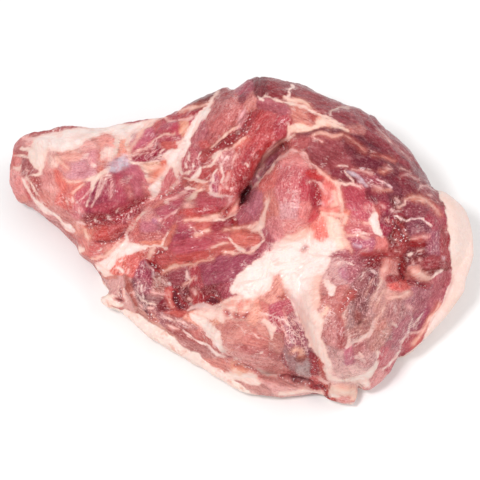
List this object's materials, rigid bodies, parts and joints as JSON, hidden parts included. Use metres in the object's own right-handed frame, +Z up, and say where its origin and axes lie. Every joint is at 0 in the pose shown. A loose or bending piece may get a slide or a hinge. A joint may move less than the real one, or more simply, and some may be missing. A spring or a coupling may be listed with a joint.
{
  "type": "boneless pork butt",
  "caption": "Raw boneless pork shoulder joint lying rind down, with an irregular boned side of muscles, seams of fat and the hollow the bone left.",
  "frame": {"origin": "centre of the bounding box in plan, at the flat underside the joint lies on", "axes": "+X along the length to the round end, +Y to the far side as seen from the near side, +Z up from the table"},
  "size_m": [0.3316, 0.2342, 0.1075],
  "materials": {
    "raw_meat": "moist raw lean with cream fat"
  },
  "bodies": {
    "root": {"pork_butt": "raw_meat"}
  },
  "joints": []
}
